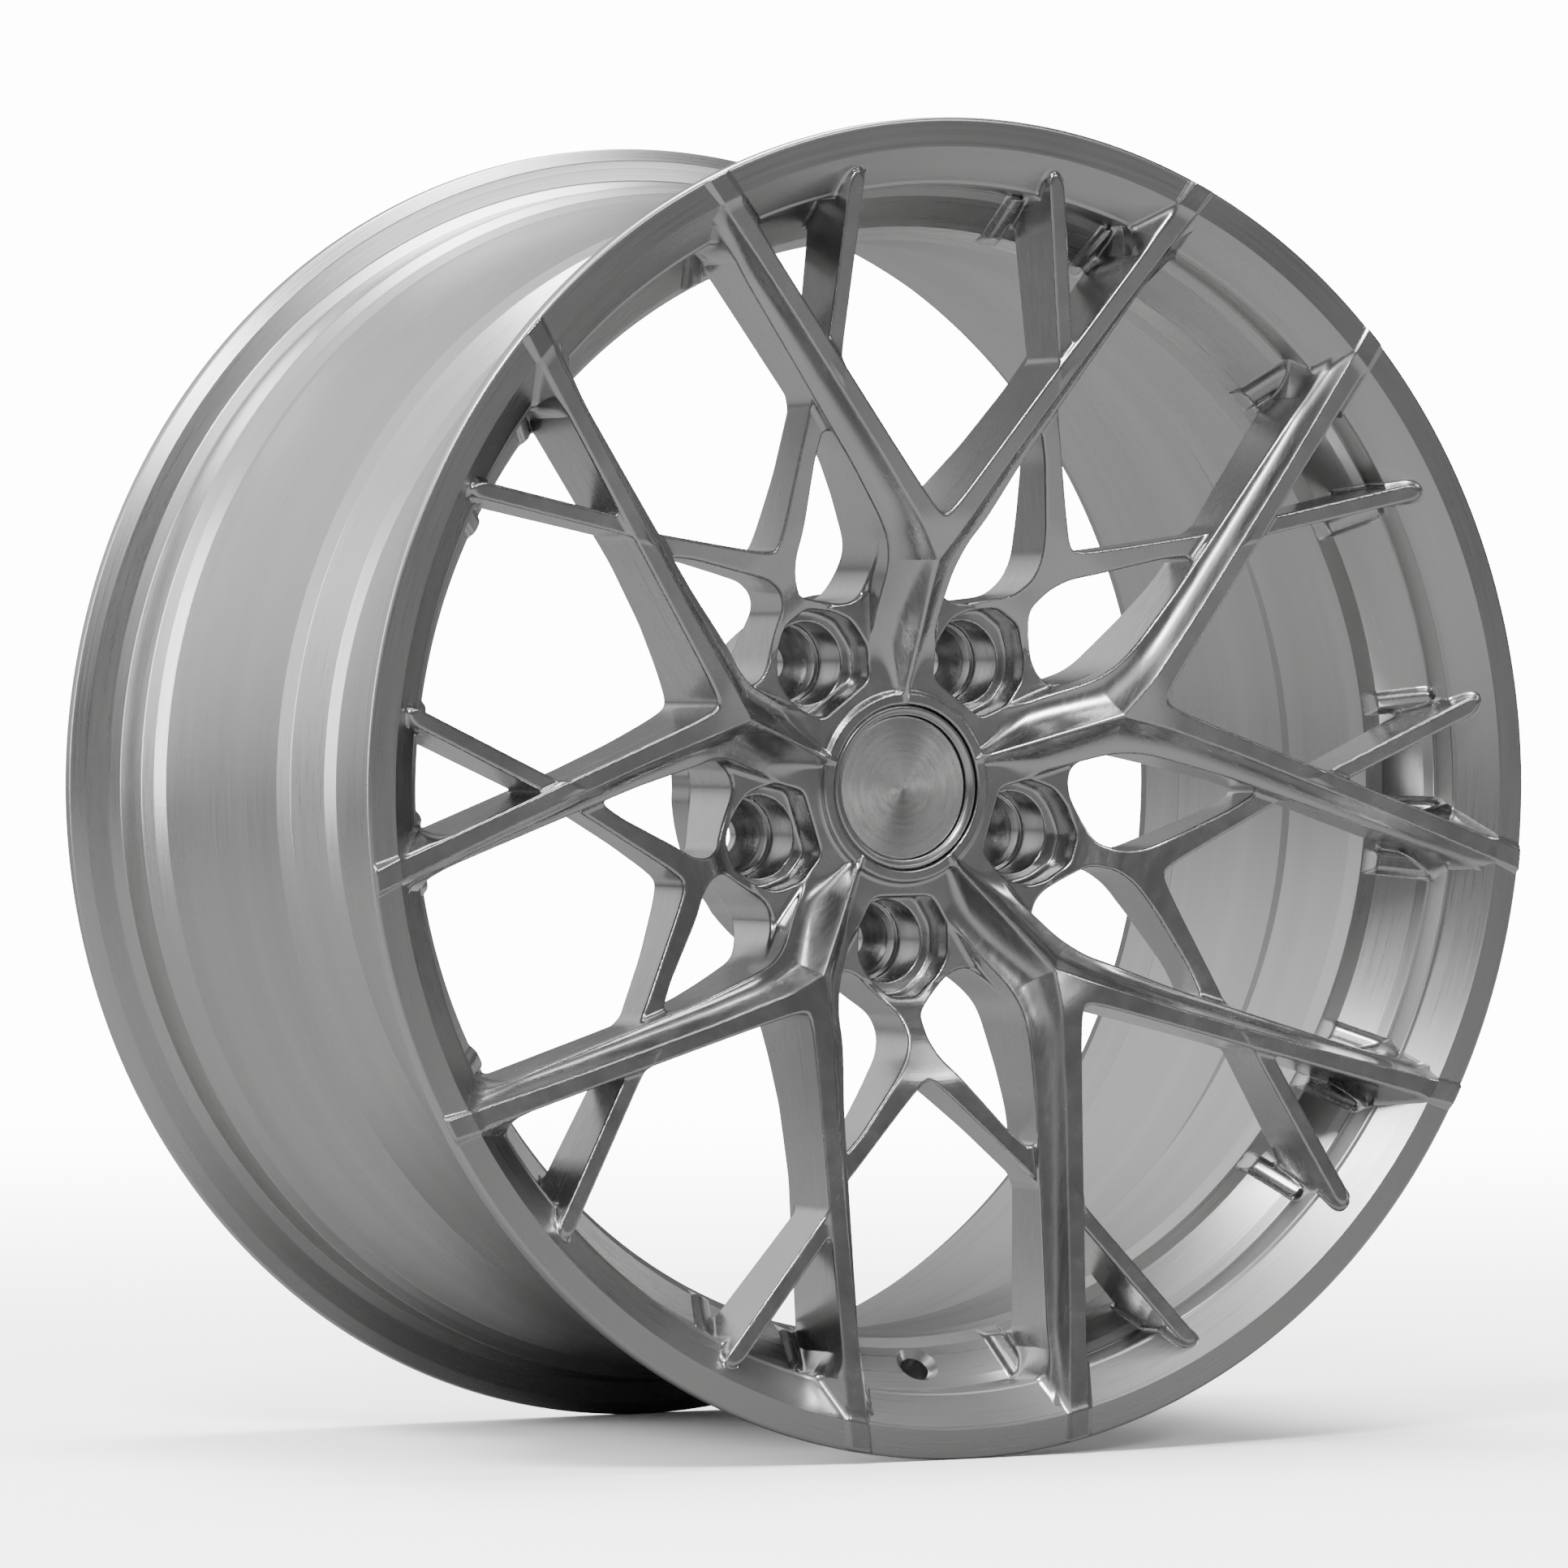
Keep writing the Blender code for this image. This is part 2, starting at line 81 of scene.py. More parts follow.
# A plan point on each part of the half sector, and whether each of a spoke's two sides is mirrored
COMPONENT_AT = {"hub": (8, 50), "stem": (5, 95), "lug_stem": (57, 80), "arm": (70, 180), "strut": (48, 200),
                "lug_arm": (52, 140)}
SIDES = {"a": True, "b": False}

# Points this near are welded (in metres), or count as on a cutting plane
WELD = 2e-6
ON_PLANE = 1e-4

# Least cosine between a stored normal and its face: below it the face is drawn flat
FORGED_FACING, TURNED_FACING = 0.35, 0.7

# Centre cap
CAP_SHELL = [(29.2, 46.2), (30.4, 45.6), (31.3, 45.7), (32, 46.6), (32, 48.7), (29.4, 48.7),
             (29.4, 59), (28.4, 59), (28.4, 61), (29.4, 61), (28.6, 67), (26.4, 67), (26.4, 54),
             (0.01, 54), (0.01, 50.2), (28.3, 50.2), (28.3, 47.0), (28.7, 46.9)]
CAP_DISC = [(0.01, 47.7), (26.6, 48.0), (27.3, 48.0), (27.9, 48.5), (27.9, 49.9), (0.01, 49.9)]
WIRE_R, WIRE_RING_R, WIRE_DEPTH = 0.7, 29.4, 60.0
CAP_STEPS, WIRE_STEPS = 192, 16
SHELL_FILLET, DISC_FILLET, WIRE_FILLET = 0.35, 0.3, 0.05

# Materials, in metres: how far the lathe rings' noise drifts round a turn, and depths of relief
RING_DRIFT = 0.004
FORGED_RELIEF, RIM_RELIEF, CAP_RELIEF, DISC_RELIEF = 0.00002, 0.000007, 0.00002, 0.000003

# Studio: the direction of the bright side, the world's strengths, its strength behind the wheel, and
# the cosines to the bright side where it begins and ends; then the floor's brightness to the camera
# and to the metal, and where it fades into the backdrop
BRIGHT_SIDE = (-0.45, 0.35, 0.82)
DIM_GLOW, FULL_GLOW, BACKDROP = 0.14, 1.25, 14.0
GLOW_START, GLOW_END = 0.3, 0.98
FLOOR_PALE, FLOOR_GREY = 2.3, 0.25
FADE_START, FADE_END = 0.35, 3.0
FLOOR_SIZE = 24.0

# Camera
CAMERA_LENS, CAMERA_SENSOR = 218.6, 36.0
CAMERA_PLACE = (-1.874, -3.276, 0.045)
CAMERA_LOOK = (0.4954, 0.8686, -0.0118)

# Sampling of the forging's surface
GRID = 0.75
NEWTON_STEPS = 2
KEPT_SHARE = 0.28
NORMAL_SHIFT, NORMAL_REACH = 0.3, 0.2
SAMPLED_DEPTHS, SAMPLED_START_V = (-4, 102), 22
PAST_LUG, PAST_FLANGE = 4, 3
FAR = 50.0
OUTLINE_STEP = 1.2
CURVE_SHIFTS, CURVE_SAMPLES = 9, 400
SHORTEST_EDGE = 1e-4
MOST_OF_SIDE = 0.45

# Y spokes: stem, fork and two arms
ARM_ANGLE = math.radians(38.43)
FORK_APEX_V = 102.6
FORK_ROUND = 3.1
SHOULDER = [(30, 11.5), (37, 12), (50, 13.5), (66, 14.5), (85, 15), (95, 18), (98, 20), (106, 25.2),
            (126, 38.4), (160, 63.5), (200, 93.3), (246, 128), (262, 140)]
CREST_DEPTH = [(30, 48), (37, 44.5), (60, 33), (78, 24.5), (90, 18.5), (103, 14), (258, -1.4), (280, -3.6)]
CREST_OFFSET = [(60, 11.6), (88, 11.6), (103, 9.5), (130, 8.3), (180, 8.3), (235, 10.0), (262, 10.2)]
CREST_DROP = [(30, 14), (70, 14), (110, 8.5), (215, 8.5), (232, 6), (258, 4.5)]
SPOKE_BACK = [(60, 98), (78, 80), (92, 66), (105, 59), (118, 52), (135, 45), (160, 40), (260, 40)]
CREST_ROUND = 2.0
TIP_R = 257.6
DRAFT_START_R, DRAFT_FULL_R, DRAFT, DRAFT_HEIGHT = 222.0, 232.0, 0.5, 14
STEM_START_V = 30.0

# Share of the depth past a sloping front face that counts as distance from it
CREST_SHARE, LUG_SHARE = 0.8, 0.85

# Struts inside each fork
STRUT_U, STRUT_V, STRUT_LEAN = 51.5, 169.0, 0.107
STRUT_HALF = 3.4
STRUT_END_R = 241.0
STRUT_DEPTH = [(176, 8.7), (241, 2.7), (260, 0.9)]
STRUT_BACK = 34.0
STRUT_INTO_ARM = 4.0

# Lug spokes
LUG_ARM_ANGLE = math.radians(44.3)
LUG_NOTCH_V = 114.0
LUG_ROUND = 3.0
WEB_INTO_ARM = 2.0
LUG_DEPTH = [(30, 48.5), (79, 48.5), (85, 46), (95, 37.6), (113.5, 28.5), (150, 22), (200, 16)]
WINDOW = [(4.2, 97), (4.6, 88.5), (20, 73.8), (25, 71.2), (30.5, 71.6), (36.5, 76), (42, 84), (47, 100),
          (50, 130), (47, 141), (41.5, 140.5), (33, 133), (7.5, 104.5)]
POCKET = [(-6, 81.5), (6, 81.5), (15, 74), (20, 66), (20, 54), (13, 42.5), (-13, 42.5), (-20, 54),
          (-20, 66), (-15, 74)]
CORNER_EASE = 4.5

# Hub
PLATEAU = 48.5
PAD_R, PAD_DEPTH = 76.0, 98.0
COLLAR_R, COLLAR_DEPTH = 37.0, 45.0
CENTRE_BORE_R, CAP_BORE_R, CAP_BORE_END = 36.3, 30.6, 66.0
CAP_SEAT_R, CAP_SEAT_DEPTH = 32.4, 49.0
PAST_PAD = 9.0
LUG_CIRCLE_R = 60.0
POCKET_FLOOR = 62.0
LUG_BORE = [(16, 50), (16, 80), (14.4, 80), (14.4, 85), (13, 86.5), (7.6, 93), (7.6, 110), (0, 110), (0, 50)]

# Rim: outer profile from front to rear, inner profile from rear to front
RIM_OUTER = [(246.7, 0), (257, 0), (258, 1), (258, 5), (254, 9), (246, 10.5), (241.6, 14.5), (240.8, 18),
             (240.5, 32), (241.8, 35), (239.3, 38.5), (222, 58), (219, 64), (219, 103), (221, 109),
             (229, 122), (231, 130), (236, 216), (238.5, 222), (241.8, 227.5), (240.2, 231), (240.8, 247),
             (244.5, 251), (253, 253.5), (258, 258), (258, 262), (257, 263)]
RIM_INNER = [(243.5, 263), (240.5, 260), (237, 250), (234.6, 221), (231, 215), (225.5, 126), (214, 103),
             (213, 56), (214, 47), (217.5, 40), (229, 28), (232.6, 25), (232.6, 12.2), (234.2, 11.3)]
RIM_STEPS, RIM_FILLET, MAPPED_DEPTH = 384, 1.6, 150
SHELF_FOOT_R, SHELF_FOOT_DEPTH, SHELF_SLOPE = 217.5, 40.0, 12.0 / 11.5
SHELF_RIBS = [(9.8, 3.0), (20.5, 2.0), (26.6, 3.5)]
RIB_HEIGHT, RIB_MIDDLE_R, RIB_HALF_LENGTH, RIB_BACK = 2.4, 223.5, 7.5, 46.0
VALVE_HOLE_R, VALVE_R, VALVE_ANGLE = 5.65, 223.5, math.radians(180.5)

# The valve hole's two cutters: radii at the two ends, and length
VALVE_CUTS, VALVE_SIDES = ((VALVE_HOLE_R, VALVE_HOLE_R, 60), (4.5, 12.5, 8)), 64

# Roots of the spokes in the rim
ROOT_FILLET = 3.5
ROOT_REACH = 6.5
ROOT_BACK = 46.5
ROOT_START_R = 200.0
RIM_INSET = 0.3
ENVELOPE_R = 150


def soft_min(a, b, k):
    """The lower of two distances, with a fillet of about k where they meet."""
    overlap = np.maximum(k - np.abs(a - b), 0)
    return np.minimum(a, b) - overlap * overlap * (0.25 / k)


def soft_max(a, b, k):
    return -soft_min(-a, -b, k)


def curve(table, x, smooth=6.0):
    """A smooth curve through a table of (x, y), with its corners eased over the given length."""
    known, values = np.array(table, float).T
    reach = np.linspace(-smooth, smooth, CURVE_SHIFTS)
    weights = np.hanning(CURVE_SHIFTS + 2)[1:-1]
    fine = np.linspace(known[0], known[-1], CURVE_SAMPLES)
    eased = sum(w * np.interp(fine + s, known, values) for w, s in zip(weights, reach)) / weights.sum()
    return np.interp(x, fine, eased)


def slope(table, x):
    return (curve(table, x + 1) - curve(table, x - 1)) / 2


def eased_outline(points, smooth):
    """A closed outline sampled evenly, with its corners rounded."""
    corners = np.array(points + points[:1], float)
    lengths = np.r_[0, np.cumsum(np.hypot(*np.diff(corners, axis=0).T))]
    count = int(lengths[-1] / OUTLINE_STEP)
    at = np.linspace(0, lengths[-1], count, endpoint=False)
    even = np.stack([np.interp(at, lengths, corners[:, i]) for i in (0, 1)], axis=1)
    reach = max(1, int(round(smooth / OUTLINE_STEP)))
    weights = np.hanning(2 * reach + 3)[1:-1]
    shifted = [w * np.roll(even, s, axis=0) for w, s in zip(weights, range(-reach, reach + 1))]
    return sum(shifted) / weights.sum()


def outline_distance(a, b, outline):
    """Signed distance in a plane to a closed outline, negative inside."""
    nearest = np.full(np.broadcast(a, b).shape, 1e9)
    inside = np.zeros(nearest.shape, bool)
    for (a0, b0), (a1, b1) in zip(outline, np.roll(outline, -1, axis=0)):
        da, db = a1 - a0, b1 - b0
        along = np.clip(((a - a0) * da + (b - b0) * db) / (da * da + db * db), 0, 1)
        nearest = np.minimum(nearest, (a - a0 - along * da) ** 2 + (b - b0 - along * db) ** 2)
        if db:
            inside ^= ((b0 > b) != (b1 > b)) & (a < a0 + (b - b0) * da / db)
    return np.where(inside, -1, 1) * np.sqrt(nearest)


class DistanceMap:
    """An outline's signed distance, sampled once on a fine grid and read back between its points."""

    STEP = 0.5

    def __init__(self, outline, margin=12.0):
        outline = np.array(outline, float)
        self.low = outline.min(axis=0) - margin
        size = np.ceil((outline.max(axis=0) + margin - self.low) / self.STEP).astype(int) + 1
        a = self.low[0] + self.STEP * np.arange(size[0])[:, None]
        b = self.low[1] + self.STEP * np.arange(size[1])[None, :]
        self.values = outline_distance(a, b, outline).astype(np.float32)

    def __call__(self, a, b):
        """The distance at (a, b); outside the sampled part, that of the part's nearest point and more."""
        last = np.array(self.values.shape) - 1
        x, y = (a - self.low[0]) / self.STEP, (b - self.low[1]) / self.STEP
        inx, iny = np.clip(x, 0, last[0] - 1e-3), np.clip(y, 0, last[1] - 1e-3)
        i, j = inx.astype(int), iny.astype(int)
        s, t = inx - i, iny - j
        v = self.values
        near = v[i, j] * (1 - s) + v[i + 1, j] * s
        far = v[i, j + 1] * (1 - s) + v[i + 1, j + 1] * s
        return near * (1 - t) + far * t + self.STEP * (np.abs(x - inx) + np.abs(y - iny))


def filleted(points, radius, pieces=4):
    """An open profile with each inner corner replaced by an arc, smaller where its sides are short."""
    out = [points[0]]
    for before, corner, after in zip(points, points[1:], points[2:]):
        p0, p1, p2 = (Vector(p) for p in (before, corner, after))
        back, on = p0 - p1, p2 - p1
        turn = math.pi - back.angle(on)
        cut = min(radius * math.tan(turn / 2), MOST_OF_SIDE * back.length, MOST_OF_SIDE * on.length)
        start, end = p1 + back.normalized() * cut, p1 + on.normalized() * cut
        for i in range(pieces + 1):
            t = i / pieces
            out.append(tuple((1 - t) ** 2 * start + 2 * t * (1 - t) * p1 + t * t * end))
    return out + [points[-1]]


RIM_PROFILE = filleted(RIM_OUTER + RIM_INNER + RIM_OUTER[:1], RIM_FILLET)
ENVELOPE = [(ENVELOPE_R, -6), (TIP_R, -6), (TIP_R, 5), *RIM_OUTER[4:16], (229, 120), (ENVELOPE_R, 120)]
RIM_MAP = DistanceMap([p for p in RIM_PROFILE if p[1] < MAPPED_DEPTH] + [(229, MAPPED_DEPTH)])
ENVELOPE_MAP = DistanceMap(ENVELOPE)
WINDOW_MAP = DistanceMap(eased_outline(WINDOW, CORNER_EASE))
POCKET_MAP = DistanceMap(eased_outline(POCKET, CORNER_EASE))
BORE_MAP = DistanceMap(LUG_BORE)


def y_spoke(u, v, d, r):
    """The stem from the hub, and the two arms that it forks into."""
    side = np.abs(u)
    fork = (v - FORK_APEX_V) * math.sin(ARM_ANGLE) - np.sqrt(u * u + FORK_ROUND**2) * math.cos(ARM_ANGLE)
    edge = curve(SHOULDER, v)
    shoulder = (side - edge) / np.sqrt(1 + slope(SHOULDER, v) ** 2)
    crest_edge = (v - FORK_APEX_V) * math.tan(ARM_ANGLE) + curve(CREST_OFFSET, v)
    off_crest = np.maximum(side - np.maximum(crest_edge, 0), 0)
    off_crest = off_crest**2 / (off_crest + CREST_ROUND)
    across = np.clip(off_crest / np.maximum(edge - np.maximum(crest_edge, 0), 1), 0, 1)
    front = curve(CREST_DEPTH, r) + curve(CREST_DROP, r) * (1 - (1 - across) ** 3)
    flare = DRAFT * np.clip((r - DRAFT_START_R) / (DRAFT_FULL_R - DRAFT_START_R), 0, 1)
    plan = soft_max(soft_max(fork, shoulder, 1.0), STEM_START_V - v, 1.0)
    drafted = plan - flare * np.clip(d - front, 0, DRAFT_HEIGHT)
    field = soft_max(drafted, (front - d) * CREST_SHARE, 1.3)
    field = soft_max(field, d - curve(SPOKE_BACK, r), 2.5)
    return soft_max(field, r - TIP_R, 1.5), plan


def strut(u, v, d, r):
    """The slim strut from the inner side of each arm out to the lip."""
    side = np.abs(u)
    plan = np.abs(side - STRUT_U + STRUT_LEAN * (v - STRUT_V)) - STRUT_HALF
    into_arm = side * math.cos(ARM_ANGLE) - (v - FORK_APEX_V) * math.sin(ARM_ANGLE) - STRUT_INTO_ARM
    plan = np.maximum(soft_max(plan, r - STRUT_END_R, 5.0), into_arm)
    field = soft_max(plan, curve(STRUT_DEPTH, r) - d, 1.2)
    return soft_max(field, d - STRUT_BACK, 1.5), plan


def lug_spoke(u, v, d, r):
    """The web outside the hub that ends in the small fork between two Y spokes."""
    apex = LUG_NOTCH_V - LUG_ROUND * math.tan(LUG_ARM_ANGLE)
    upper = (v - apex) * math.cos(LUG_ARM_ANGLE) - np.sqrt(u * u + LUG_ROUND**2) * math.sin(LUG_ARM_ANGLE)
    field = soft_max(upper, (curve(LUG_DEPTH, r) - d) * LUG_SHARE, 1.3)
    return soft_max(field, d - curve(SPOKE_BACK, r), 2.5)


def hub(d, r):
    pad = soft_max(soft_max(r - PAD_R, PLATEAU - d, 1.0), d - PAD_DEPTH, 1.5)
    collar = soft_max(soft_max(r - COLLAR_R, COLLAR_DEPTH - d, 1.2), d - PAD_DEPTH, 1.0)
    return soft_min(pad, collar, 1.5)


def shelf_ribs(u, v, d, r):
    """Short raised ribs across the rim's shelf, beside the roots of the arms and struts."""
    cone = SHELF_FOOT_DEPTH - SHELF_SLOPE * (r - SHELF_FOOT_R)
    raised = (cone - d) / math.hypot(1, SHELF_SLOPE) - RIB_HEIGHT
    field, plan = FAR, FAR
    for degrees, half in SHELF_RIBS:
        angle = math.radians(degrees)
        across = np.abs(np.abs(u) * math.cos(angle) - v * math.sin(angle)) - half
        field = np.minimum(field, soft_max(across, raised, 2.6))
        plan = np.minimum(plan, across)
    length = np.abs(r - RIB_MIDDLE_R) - RIB_HALF_LENGTH
    return np.maximum(soft_max(field, length, 1.0), d - RIB_BACK), soft_max(plan, length, 4.0)


def forging(u, d, v):
    """Signed distance to the spokes and hub around one Y spoke's line, negative in the metal."""
    r = np.hypot(u, v)
    half = SECTOR / 2
    side = np.abs(u)
    lug_u = side * math.cos(half) - v * math.sin(half)
    lug_v = side * math.sin(half) + v * math.cos(half)
    fork = (v - FORK_APEX_V) * math.sin(ARM_ANGLE) - side * math.cos(ARM_ANGLE)
    web = np.maximum(lug_spoke(lug_u, lug_v, d, r), fork + WEB_INTO_ARM)
    field = soft_min(web, hub(d, r), 2.0)
    field = soft_max(field, -WINDOW_MAP(np.abs(lug_u), lug_v), 1.4)
    arms, arms_plan = y_spoke(u, v, d, r)
    struts, struts_plan = strut(u, v, d, r)
    field = soft_min(soft_min(field, arms, 3.0), struts, 2.0)
    floor = d - POCKET_FLOOR
    field = soft_max(field, -soft_max(POCKET_MAP(lug_u, lug_v), floor, 2.0), 1.2)
    bore = BORE_MAP(np.hypot(lug_u, lug_v - LUG_CIRCLE_R), d)
    field = soft_max(field, -bore, 0.6)
    cap_bore = np.maximum(r - CAP_BORE_R, d - PAD_DEPTH - PAST_PAD)
    centre = np.minimum(cap_bore, np.maximum(r - CENTRE_BORE_R, CAP_BORE_END - d))
    centre = np.minimum(centre, np.maximum(r - CAP_SEAT_R, d - CAP_SEAT_DEPTH))
    field = soft_max(field, -centre, 0.8)
    ribs, ribs_plan = shelf_ribs(u, v, d, r)
    reach = soft_min(soft_min(arms_plan, struts_plan, 4.0), ribs_plan, 4.0) - ROOT_REACH
    rim = RIM_MAP(r, d) + RIM_INSET
    rooted = soft_min(soft_min(field, ribs, 1.5), rim, ROOT_FILLET)
    rooted = np.maximum(rooted, np.maximum(reach, d - ROOT_BACK))
    rooted = np.maximum(rooted, ENVELOPE_MAP(np.maximum(r, ENVELOPE_R), d) + RIM_INSET)
    return np.where(r > ROOT_START_R, rooted, field)


def surface_net(field, low, step):
    """Points and quads of the surface where a sampled field is zero, one point to each crossed cell."""
    inside = field < 0
    shape = np.array(field.shape)
    points, cells, quads = [], [], []
    for axis in range(3):
        first, second = [slice(None)] * 3, [slice(None)] * 3
        first[axis], second[axis] = slice(None, -1), slice(1, None)
        at = np.argwhere(inside[tuple(first)] != inside[tuple(second)])
        b, c = (axis + 1) % 3, (axis + 2) % 3
        room = (at[:, b] > 0) & (at[:, c] > 0) & (at[:, b] < shape[b] - 1) & (at[:, c] < shape[c] - 1)
        at = at[room]
        beyond = at.copy()
        beyond[:, axis] += 1
        here, there = field[tuple(at.T)], field[tuple(beyond.T)]
        crossing = at.astype(float)
        crossing[:, axis] += here / (here - there)
        corners = []
        for db, dc in ((0, 0), (1, 0), (1, 1), (0, 1)):
            cell = at.copy()
            cell[:, b] -= db
            cell[:, c] -= dc
            corners.append(np.ravel_multi_index(tuple(cell.T), field.shape))
            points.append(crossing)
            cells.append(corners[-1])
        quad = np.stack(corners, axis=1)
        outwards = here < 0
        quads.append(np.where(outwards[:, None], quad, quad[:, ::-1]))
    used, index = np.unique(np.concatenate(cells), return_inverse=True)
    points = np.concatenate(points)
    counts = np.bincount(index)
    middle = np.stack([np.bincount(index, points[:, i]) / counts for i in range(3)], axis=1)
    return np.array(low) + middle * step, np.searchsorted(used, np.concatenate(quads))


def gradient(points, reach=0.3):
    """Gradient of the forging's field at points (u, d, v)."""
    found = []
    for axis in range(3):
        ahead, behind = points.copy(), points.copy()
        ahead[:, axis] += reach
        behind[:, axis] -= reach
        found.append((forging(*ahead.T) - forging(*behind.T)) / (2 * reach))
    return np.stack(found, axis=1)


def settle(points, step):
    """Moves points along the field's gradient onto the surface."""
    for _ in range(NEWTON_STEPS):
        slopes = gradient(points)
        move = forging(*points.T)[:, None] * slopes / np.maximum((slopes**2).sum(axis=1), 0.1)[:, None]
        points = points - np.clip(move, -step / 2, step / 2)
    return points


def sampled_forging():
    """Points and quads of half a sector's surface, from one Y spoke's line to just past the lug's."""
    u = np.arange(-2 * GRID, FLANGE_R * math.sin(SECTOR / 2) + PAST_LUG, GRID)
    d = np.arange(*SAMPLED_DEPTHS, GRID)
    v = np.arange(SAMPLED_START_V, FLANGE_R + PAST_FLANGE, GRID)
    field = forging(u[:, None, None], d[None, :, None], v[None, None, :]).astype(np.float32)
    points, quads = surface_net(field, (u[0], d[0], v[0]), GRID)
    return settle(points, GRID), quads


def turn_to_row(vectors, angle):
    """Row-frame directions of plan vectors (u, d, v) of the spoke at this angle from the top."""
    c, s = math.cos(angle), math.sin(angle)
    u, d, v = vectors.T
    return np.stack([u * c + v * s, d, v * c - u * s], axis=1)


def new_mesh(name, points, faces):
    mesh = bpy.data.meshes.new(name)
    mesh.from_pydata(points.tolist(), [], faces.tolist())
    mesh.validate()
    mesh.update()
    return mesh


def add_piece(name, mesh, material, replaced, body="wheel"):
    mesh.materials.clear()
    mesh.materials.append(material)
    piece = bpy.data.objects.new(name, mesh)
    bpy.context.scene.collection.objects.link(piece)
    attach(piece, body)
    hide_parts(*replaced)


def thinned(mesh, share):
    """The mesh with flat stretches drawn with fewer triangles."""
    helper = bpy.data.objects.new("thinning", mesh)
    bpy.context.scene.collection.objects.link(helper)
    modifier = helper.modifiers.new("Decimate", "DECIMATE")
    modifier.ratio = share
    graph = bpy.context.evaluated_depsgraph_get()
    result = bpy.data.meshes.new_from_object(helper.evaluated_get(graph))
    bpy.data.objects.remove(helper)
    return result


def cut(bm, point, normal, within=None, clear=False):
    """Cuts a mesh by a plane. A local cut takes only the faces near the point in plan, and marks its seam."""
    middle = Vector((point[0], point[2]))
    faces = [f for f in bm.faces if within is None or (f.calc_center_median().xz - middle).length < within]
    verts = dict.fromkeys(v for f in faces for v in f.verts)
    edges = dict.fromkeys(e for f in faces for e in f.edges)
    geometry = [*verts, *edges, *faces]
    made = bmesh.ops.bisect_plane(bm, geom=geometry, dist=ON_PLANE, plane_co=point, plane_no=normal,
                                  clear_outer=clear)
    for item in made["geom_cut"]:
        if isinstance(item, bmesh.types.BMEdge):
            item.seam = not clear


def plan_point(u, v, on_lug=False):
    """A plan point (u, depth, v) of the half sector, from Y spoke or lug spoke coordinates."""
    if on_lug:
        c, s = math.cos(SECTOR / 2), math.sin(SECTOR / 2)
        u, v = v * s - u * c, v * c + u * s
    return Vector((u, SEAM_DEPTH, v))


def seam_plane(start, end, on_lug=False):
    """A point and a normal of the upright plane through two plan points."""
    a, b = plan_point(*start, on_lug), plan_point(*end, on_lug)
    along = b - a
    return (a + b) / 2, Vector((along.z, 0, -along.x)).normalized()


def half_sector():
    """Half a sector of the forging in plan millimetres (u, d, v), open at its mirror planes and seamed."""
    points, quads = sampled_forging()
    mesh = thinned(new_mesh("half_sector", points, quads), KEPT_SHARE)
    bm = bmesh.new()
    bm.from_mesh(mesh)
    bpy.data.meshes.remove(mesh)
    half = SECTOR / 2
    cut(bm, (0, 0, 0), (-1, 0, 0), clear=True)
    cut(bm, (0, 0, 0), (math.cos(half), 0, -math.sin(half)), clear=True)
    for start, end, on_lug, within in SEAMS:
        cut(bm, *seam_plane(start, end, on_lug), within=within)
    bmesh.ops.triangulate(bm, faces=bm.faces)
    return bm


def components(bm):
    """Lists of faces of the half sector that its seams part from each other."""
    found, met = [], set()
    for first in bm.faces:
        if first in met:
            continue
        met.add(first)
        stack, group = [first], []
        while stack:
            face = stack.pop()
            group.append(face)
            inner_edges = [edge for edge in face.edges if not edge.seam]
            for other in [other for edge in inner_edges for other in edge.link_faces]:
                if other not in met:
                    met.add(other)
                    stack.append(other)
        found.append(group)
    return found


def group_arrays(group):
    """Points and faces of some faces of the half sector, and a normal for each corner of each face."""
    index = {}
    faces = np.array([[index.setdefault(v, len(index)) for v in f.verts] for f in group])
    points = np.array([v.co for v in index])
    corners = points[faces]
    inwards = corners.mean(axis=1, keepdims=True) - corners
    lengths = np.maximum(np.linalg.norm(inwards, axis=2, keepdims=True), 1e-6)
    corners = corners + inwards * np.minimum(NORMAL_SHIFT / lengths, 0.4)
    slopes = gradient(corners.reshape(-1, 3), NORMAL_REACH)
    normals = slopes / np.maximum(np.linalg.norm(slopes, axis=1), 1e-6)[:, None]
    return points, faces, normals.reshape(-1, 3, 3)


def forged_mesh(name, arrays, copies):
    """One closed mesh of some copies (mirrored, angle) of a component, joined where they meet."""
    points, faces, normals = arrays
    all_points, all_faces, all_normals = [], [], []
    for number, (mirrored, angle) in enumerate(copies):
        flip = np.array([-1.0 if mirrored else 1.0, 1.0, 1.0])
        order = [2, 1, 0] if mirrored else [0, 1, 2]
        all_points.append(turn_to_row(points * flip + np.array([0, FRONT_Y, 0]), angle) * MM)
        all_faces.append(faces[:, order] + number * len(points))
        all_normals.append(turn_to_row((normals[:, order] * flip).reshape(-1, 3), angle))
    mesh = bpy.data.meshes.new(name)
    mesh.from_pydata(np.concatenate(all_points).tolist(), [], np.concatenate(all_faces).tolist())
    layer = mesh.attributes.new("surface_normal", "FLOAT_VECTOR", "CORNER")
    layer.data.foreach_set("vector", np.concatenate(all_normals).astype(np.float32).ravel())
    bm = bmesh.new()
    bm.from_mesh(mesh)
    bmesh.ops.remove_doubles(bm, verts=bm.verts, dist=WELD)
    holes = [e for e in bm.edges if len(e.link_faces) == 1]
    caps = bmesh.ops.holes_fill(bm, edges=holes, sides=0)["faces"]
    normal_layer = bm.loops.layers.float_vector["surface_normal"]
    for loop in [loop for face in caps for loop in face.loops]:
        loop[normal_layer] = (0, 0, 0)
    bmesh.ops.triangulate(bm, faces=caps)
    bm.to_mesh(mesh)
    bm.free()
    smooth_by(mesh, "surface_normal", FORGED_FACING)
    return mesh


